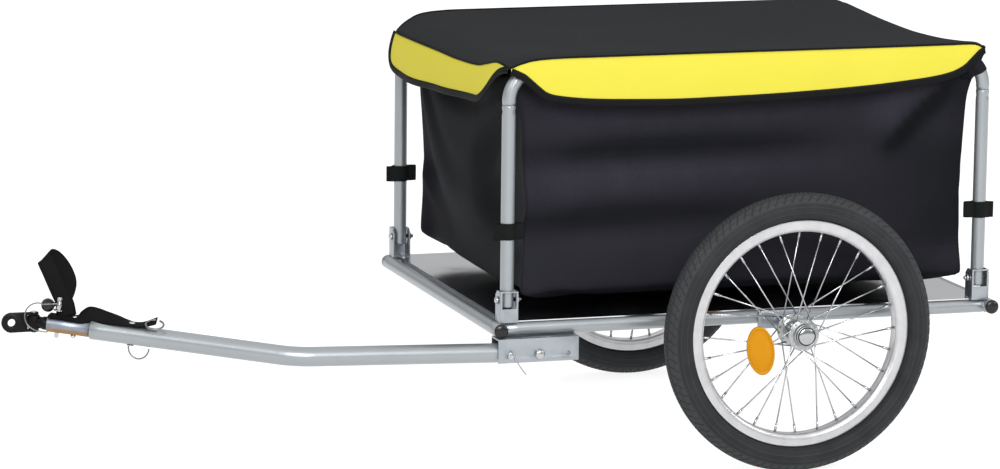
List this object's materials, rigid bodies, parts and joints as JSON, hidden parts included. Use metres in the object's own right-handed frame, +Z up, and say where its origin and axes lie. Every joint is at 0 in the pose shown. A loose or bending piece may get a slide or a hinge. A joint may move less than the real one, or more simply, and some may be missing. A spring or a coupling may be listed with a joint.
{
  "type": "bicycle cargo trailer",
  "caption": "Two-wheeled bicycle cargo trailer with a folding tube frame, cloth box and cover, and a drawbar that folds under the frame and ends in an eye hitch",
  "frame": {"origin": "on the floor, below the middle of the trailer's length and width", "axes": "+X is the towing direction, +Y the trailer's left side, +Z up"},
  "size_m": [1.417, 0.7734, 0.5823],
  "materials": {
    "silver_paint": "satin silver paint",
    "sheet_metal": "smooth bright sheet",
    "zinc_steel": "bright zinc",
    "rim_aluminium": "satin",
    "black_steel": "black paint",
    "black_plastic": "smooth",
    "tyre_rubber": "matt",
    "amber_lens": "moulded reflector",
    "black_webbing": "woven webbing",
    "black_cloth": "coated woven cloth",
    "cover_cloth": "coated woven cloth with yellow bands"
  },
  "bodies": {
    "frame": {"front_cross_rail": "silver_paint", "rear_cross_rail": "silver_paint", "left_side_rail": "silver_paint", "right_side_rail": "silver_paint", "front_left_rail_plug": "black_plastic", "front_right_rail_plug": "black_plastic", "rear_left_rail_plug": "black_plastic", "rear_right_rail_plug": "black_plastic", "floor_panel": "sheet_metal", "left_front_foot_bracket": "zinc_steel", "left_rear_foot_bracket": "zinc_steel", "right_front_foot_bracket": "zinc_steel", "right_rear_foot_bracket": "zinc_steel", "left_front_fold_bolt": "zinc_steel", "left_rear_fold_bolt": "zinc_steel", "right_front_fold_bolt": "zinc_steel", "right_rear_fold_bolt": "zinc_steel", "drawbar_channel": "zinc_steel", "drawbar_pivot_bolt": "zinc_steel", "left_axle_receiver": "zinc_steel", "right_axle_receiver": "zinc_steel", "cargo_bag": "black_cloth"},
    "left_hoop": {"left_front_post": "silver_paint", "left_rear_post": "silver_paint", "left_top_bow": "silver_paint", "left_front_tie": "black_webbing", "left_rear_tie": "black_webbing"},
    "right_hoop": {"right_front_post": "silver_paint", "right_rear_post": "silver_paint", "right_top_bow": "silver_paint", "right_front_tie": "black_webbing", "right_rear_tie": "black_webbing"},
    "cover_body": {"cover": "cover_cloth"},
    "drawbar": {"drawbar_tube": "silver_paint", "coupling_tube": "rim_aluminium", "tube_pin": "zinc_steel", "hitch_neck": "black_steel", "safety_strap": "black_webbing", "strap_ring": "zinc_steel"},
    "lock_pin_body": {"lock_pin": "zinc_steel"},
    "half_ring_body": {"half_ring": "zinc_steel"},
    "coupling_pin_body": {"coupling_pin": "zinc_steel"},
    "snap_ring_body": {"snap_ring": "zinc_steel"},
    "hitch_eye_body": {"hitch_eye": "black_steel"},
    "left_axle_body": {"left_axle": "zinc_steel"},
    "left_button_body": {"left_push_button": "zinc_steel"},
    "left_wheel": {"left_tyre": "tyre_rubber", "left_rim": "rim_aluminium", "left_hub": "zinc_steel", "left_outer_bearing": "zinc_steel", "left_inner_bearing": "zinc_steel", "left_reflector": "amber_lens"},
    "right_axle_body": {"right_axle": "zinc_steel"},
    "right_button_body": {"right_push_button": "zinc_steel"},
    "right_wheel": {"right_tyre": "tyre_rubber", "right_rim": "rim_aluminium", "right_hub": "zinc_steel", "right_outer_bearing": "zinc_steel", "right_inner_bearing": "zinc_steel", "right_reflector": "amber_lens"}
  },
  "joints": [
    {"name": "drawbar_fold", "type": "hinge", "parent": "frame", "child": "drawbar", "pos_m": [-0.01172, 0.2725, 0.1722], "axis": [0, 1, 0], "range_deg": [0, 180]},
    {"name": "lock_pin_pull", "type": "slide", "parent": "frame", "child": "lock_pin_body", "axis": [0, 1, 0], "range_m": [0, 0.04]},
    {"name": "left_hoop_fold", "type": "hinge", "parent": "frame", "child": "left_hoop", "pos_m": [-0.37072, 0.264, 0.2465], "axis": [1, 0, 0], "range_deg": [0, 90], "deforming": ["cargo_bag", "cover"]},
    {"name": "right_hoop_fold", "type": "hinge", "parent": "frame", "child": "right_hoop", "pos_m": [-0.37072, -0.264, 0.2465], "axis": [-1, 0, 0], "range_deg": [0, 72], "deforming": ["cargo_bag", "cover"]},
    {"name": "cover_lift", "type": "slide", "parent": "frame", "child": "cover_body", "axis": [0, 0, 1], "range_m": [0, 0.25]},
    {"name": "left_axle_release", "type": "slide", "parent": "frame", "child": "left_axle_body", "axis": [0, 1, 0], "range_m": [0, 0.06]},
    {"name": "left_wheel_spin", "type": "hinge", "parent": "left_axle_body", "child": "left_wheel", "pos_m": [-0.37072, 0.35, 0.1975], "axis": [0, 1, 0], "continuous": true},
    {"name": "left_button_press", "type": "slide", "parent": "left_axle_body", "child": "left_button_body", "axis": [0, -1, 0], "range_m": [0, 0.0012], "stiffness_N_per_m": 400, "springref_m": -0.002},
    {"name": "right_axle_release", "type": "slide", "parent": "frame", "child": "right_axle_body", "axis": [0, -1, 0], "range_m": [0, 0.06]},
    {"name": "right_wheel_spin", "type": "hinge", "parent": "right_axle_body", "child": "right_wheel", "pos_m": [-0.37072, -0.35, 0.1975], "axis": [0, 1, 0], "continuous": true},
    {"name": "right_button_press", "type": "slide", "parent": "right_axle_body", "child": "right_button_body", "axis": [0, 1, 0], "range_m": [0, 0.0012], "stiffness_N_per_m": 400, "springref_m": -0.002},
    {"name": "coupling_pin_pull", "type": "slide", "parent": "drawbar", "child": "coupling_pin_body", "axis": [-0.0848, 0.0416, 0.9955], "range_m": [0, 0.035]},
    {"name": "snap_ring_swing", "type": "hinge", "parent": "coupling_pin_body", "child": "snap_ring_body", "pos_m": [0.63311, 0.13212, 0.2468], "axis": [0.894, -0.438, 0.0945], "range_deg": [0, 80]},
    {"name": "half_ring_swing", "type": "hinge", "parent": "drawbar", "child": "half_ring_body", "pos_m": [0.53074, 0.17626, 0.18709], "axis": [0.894, -0.438, 0.0945], "range_deg": [-50, 50]},
    {"name": "hitch_yaw", "type": "hinge", "parent": "drawbar", "child": "hitch_eye_body", "pos_m": [0.66302, 0.11146, 0.21734], "axis": [0, 0, 1], "range_deg": [-60, 20]}
  ],
  "couplings": [
    {"joint": "right_hoop_fold", "follows": "left_hoop_fold", "ratio": 0.8}
  ]
}
